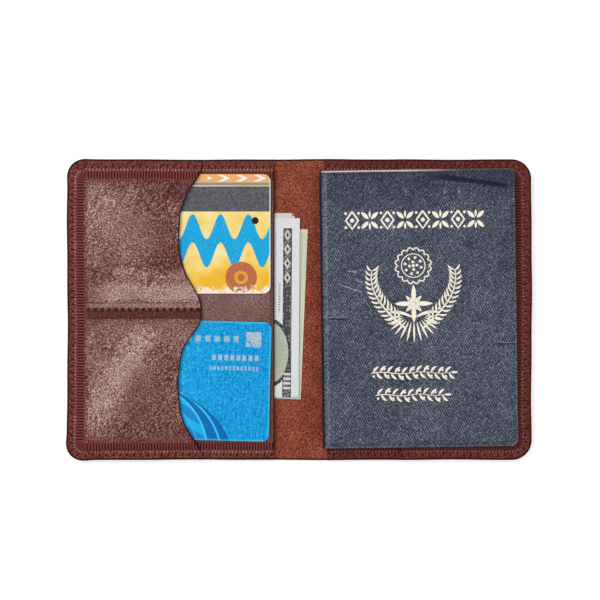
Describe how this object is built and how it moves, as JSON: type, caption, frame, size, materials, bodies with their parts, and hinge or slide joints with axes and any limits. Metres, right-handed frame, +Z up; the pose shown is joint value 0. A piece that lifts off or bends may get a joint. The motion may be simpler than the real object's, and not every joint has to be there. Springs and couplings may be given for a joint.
{
  "type": "travel document organizer",
  "caption": "Leather passport wallet lying open flat, with scooped card pockets on one half, a passport sleeve on the other, and a booklet, cards and folded notes inside.",
  "frame": {"origin": "under the middle of the spine, on the face that lies on the table", "axes": "+X right across both open halves, +Y away along the spine, +Z up out of the open inside"},
  "size_m": [0.21, 0.136, 0.0071],
  "materials": {
    "outer_leather": "waxed dark reddish brown grain side",
    "flesh_leather": "matt red-brown flesh side",
    "lining_leather": "matt brown",
    "pocket_leather": "waxed dark reddish brown grain side",
    "thread": "brown waxed thread",
    "yellow_card": "worn printed yellow",
    "blue_card": "printed sky blue",
    "note_paper": "matt printed paper",
    "booklet_cloth": "coated cover, dark slate blue with pale gold foil",
    "leaf_paper": "matt paper"
  },
  "bodies": {
    "right_half": {"cover_right_panel": "outer_leather", "right_lining_panel": "lining_leather", "passport_sleeve_front": "pocket_leather", "right_edge_stitching": "thread", "right_edge_bobbin_thread": "thread"},
    "spine": {"cover_spine": "flesh_leather"},
    "left_half": {"cover_left_panel": "outer_leather", "left_lining_panel": "lining_leather", "card_pocket_front": "pocket_leather", "left_edge_stitching": "thread", "left_edge_bobbin_thread": "thread", "pocket_divider_stitching": "thread", "banknote_back": "note_paper", "banknote_middle": "note_paper", "banknote_front": "note_paper"},
    "upper_card": {"upper_card": "yellow_card"},
    "lower_card": {"lower_card": "blue_card"},
    "passport": {"passport_back_cover": "booklet_cloth", "passport_back_leaves": "leaf_paper"},
    "passport_leaves": {"passport_front_leaves": "leaf_paper"},
    "passport_front": {"passport_front_cover": "booklet_cloth"}
  },
  "joints": [
    {"name": "spine_fold", "type": "hinge", "parent": "right_half", "child": "spine", "pos_m": [0.006, 0, 0.0014], "axis": [0, -1, 0], "range_deg": [-90, 0]},
    {"name": "left_fold", "type": "hinge", "parent": "spine", "child": "left_half", "pos_m": [-0.006, 0, 0.0014], "axis": [0, -1, 0], "range_deg": [-90, 0], "deforming": ["banknote_back", "banknote_middle", "banknote_front"]},
    {"name": "upper_card_slide", "type": "slide", "parent": "left_half", "child": "upper_card", "axis": [1, 0, 0], "range_m": [0, 0.012]},
    {"name": "lower_card_slide", "type": "slide", "parent": "left_half", "child": "lower_card", "axis": [1, 0, 0], "range_m": [0, 0.012]},
    {"name": "passport_slide", "type": "slide", "parent": "right_half", "child": "passport", "axis": [-1, 0, 0], "range_m": [0, 0.0075]},
    {"name": "passport_cover_hinge", "type": "hinge", "parent": "passport", "child": "passport_front", "pos_m": [0.0096, 0, 0.0064], "axis": [0.014, -0.9999, 0], "range_deg": [0, 170]},
    {"name": "passport_leaf_hinge", "type": "hinge", "parent": "passport", "child": "passport_leaves", "pos_m": [0.0096, 0, 0.0064], "axis": [0.014, -0.9999, 0], "range_deg": [0, 85]}
  ],
  "couplings": [
    {"joint": "left_fold", "follows": "spine_fold", "ratio": 1},
    {"joint": "passport_leaf_hinge", "follows": "passport_cover_hinge", "ratio": 0.5}
  ]
}
